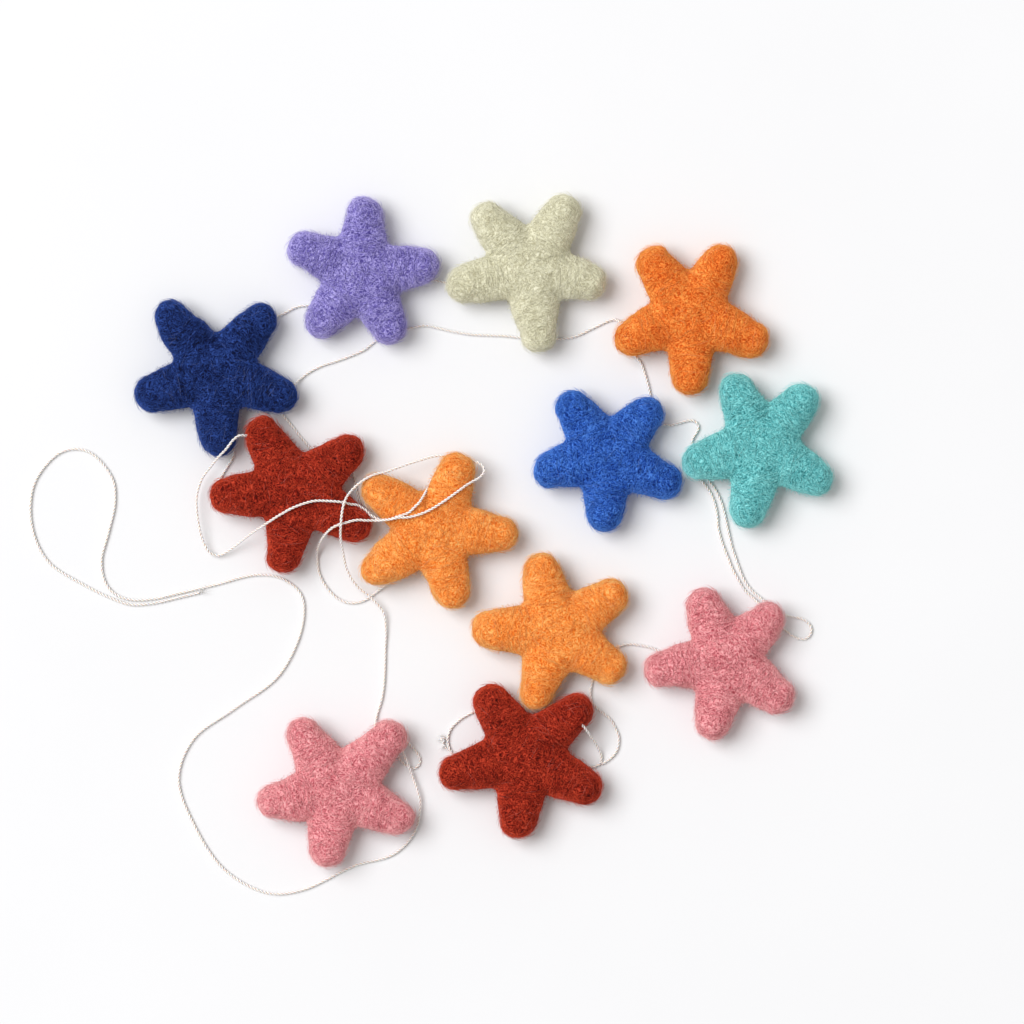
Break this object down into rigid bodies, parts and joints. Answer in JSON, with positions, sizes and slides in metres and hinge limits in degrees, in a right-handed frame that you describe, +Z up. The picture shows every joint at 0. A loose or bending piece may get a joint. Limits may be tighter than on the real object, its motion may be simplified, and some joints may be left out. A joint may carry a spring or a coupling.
{
  "type": "felt star garland",
  "caption": "String of plump stars in needle-felted wool, threaded on a thin twisted cotton cord with loose loops, lying flat on a table",
  "frame": {"origin": "On the table, below the middle of the box round the stars, the free cord left out", "axes": "+Z up from the table, +X to the right and +Y towards the top of the picture, which looks straight down"},
  "size_m": [0.3138, 0.2735, 0.0179],
  "materials": {
    "wool_navy": "needle-felted wool, matt and fuzzy",
    "wool_purple": "needle-felted wool, matt and fuzzy",
    "wool_sage": "needle-felted wool, matt and fuzzy",
    "wool_orange": "needle-felted wool, matt and fuzzy",
    "wool_royal": "needle-felted wool, matt and fuzzy",
    "wool_turquoise": "needle-felted wool, matt and fuzzy",
    "wool_light_orange": "needle-felted wool, matt and fuzzy",
    "wool_rust": "needle-felted wool, matt and fuzzy",
    "wool_pink": "needle-felted wool, matt and fuzzy",
    "cord_cotton": "twisted two-ply cotton string, undyed"
  },
  "bodies": {
    "root": {"star_navy": "wool_navy", "star_purple": "wool_purple", "star_sage": "wool_sage", "star_orange": "wool_orange", "star_royal": "wool_royal", "star_turquoise": "wool_turquoise", "star_light_orange_left": "wool_light_orange", "star_light_orange_mid": "wool_light_orange", "star_rust_left": "wool_rust", "star_rust_bottom": "wool_rust", "star_pink_right": "wool_pink", "star_pink_left": "wool_pink", "cord_end_loop": "cord_cotton", "cord_pink_left_loop": "cord_cotton", "cord_pink_left_to_light_orange": "cord_cotton", "cord_navy_over_rust": "cord_cotton", "cord_light_orange_over_rust": "cord_cotton", "cord_navy_to_rust_top": "cord_cotton", "cord_navy_to_rust_side": "cord_cotton", "cord_navy_to_purple": "cord_cotton", "cord_navy_to_orange": "cord_cotton", "cord_purple_to_sage": "cord_cotton", "cord_orange_to_royal": "cord_cotton", "cord_royal_to_turquoise": "cord_cotton", "cord_turquoise_to_pink_outer": "cord_cotton", "cord_turquoise_to_pink_inner": "cord_cotton", "cord_pink_right_loop": "cord_cotton", "cord_pink_to_light_orange": "cord_cotton", "cord_light_orange_to_rust": "cord_cotton", "cord_rust_bottom_right": "cord_cotton", "cord_rust_bottom_left": "cord_cotton", "cord_rust_to_light_orange": "cord_cotton", "cord_knot": "cord_cotton"}
  },
  "joints": []
}
